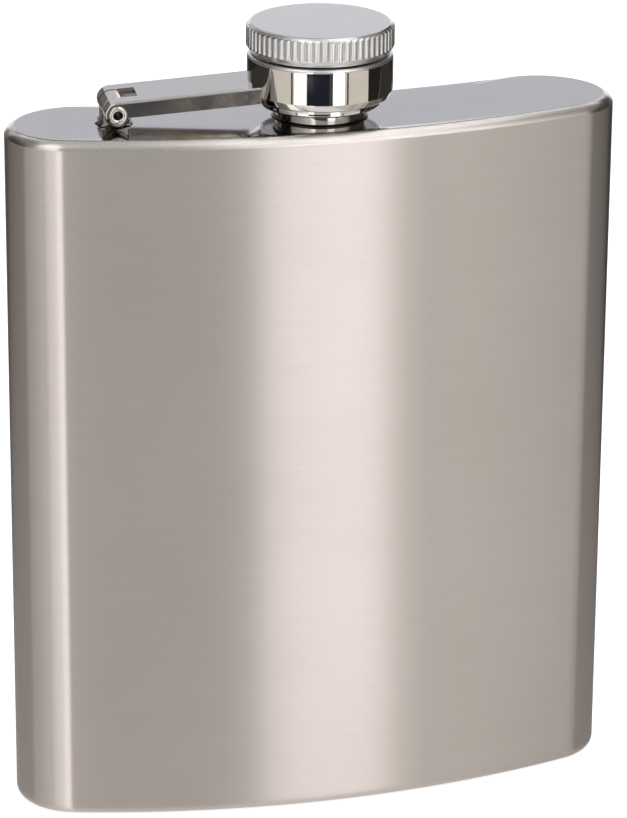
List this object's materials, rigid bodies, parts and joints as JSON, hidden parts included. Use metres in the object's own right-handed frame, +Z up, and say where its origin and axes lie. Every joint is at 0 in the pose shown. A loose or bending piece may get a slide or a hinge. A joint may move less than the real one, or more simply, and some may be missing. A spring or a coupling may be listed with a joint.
{
  "type": "hip flask",
  "caption": "Curved stainless hip flask with a knurled screw cap held captive in a round cup on a hinged strap.",
  "frame": {"origin": "base plane, on the axis of the neck", "axes": "+Z up along the neck, -Y towards the convex front, +X towards the side without the hinge"},
  "size_m": [0.092, 0.0255, 0.1199],
  "materials": {
    "wall_steel": "horizontally brushed",
    "plate_steel": "polished",
    "neck_steel": "polished",
    "hinge_chrome": "polished",
    "cup_chrome": "mirror polished",
    "head_steel": "satin top, bright knurl",
    "sleeve_steel": "turned",
    "seal_rubber": "matt translucent silicone"
  },
  "bodies": {
    "flask": {"body_wall": "wall_steel", "top_plate": "plate_steel", "base_plate": "plate_steel", "neck": "neck_steel", "hinge_lug": "hinge_chrome"},
    "arm": {"arm_strap": "hinge_chrome", "collar_cup": "cup_chrome", "hinge_pin": "hinge_chrome"},
    "cap_carrier": {"retaining_ring": "cup_chrome"},
    "cap": {"cap_head": "head_steel", "cap_sleeve": "sleeve_steel", "cap_seal": "seal_rubber"}
  },
  "joints": [
    {"name": "arm_hinge", "type": "hinge", "parent": "flask", "child": "arm", "pos_m": [-0.0301, 0.00295, 0.1083], "axis": [-0.0976, -0.9952, 0], "range_deg": [0, 175]},
    {"name": "cap_rise", "type": "slide", "parent": "arm", "child": "cap_carrier", "axis": [0, 0, 1], "range_m": [0, 0.0045]},
    {"name": "cap_turn", "type": "hinge", "parent": "cap_carrier", "child": "cap", "pos_m": [0, 0, 0.1199], "axis": [0, 0, 1], "range_deg": [0, 1080]}
  ],
  "couplings": [
    {"joint": "cap_rise", "follows": "cap_turn", "m_per_rad": 0.00023873}
  ]
}
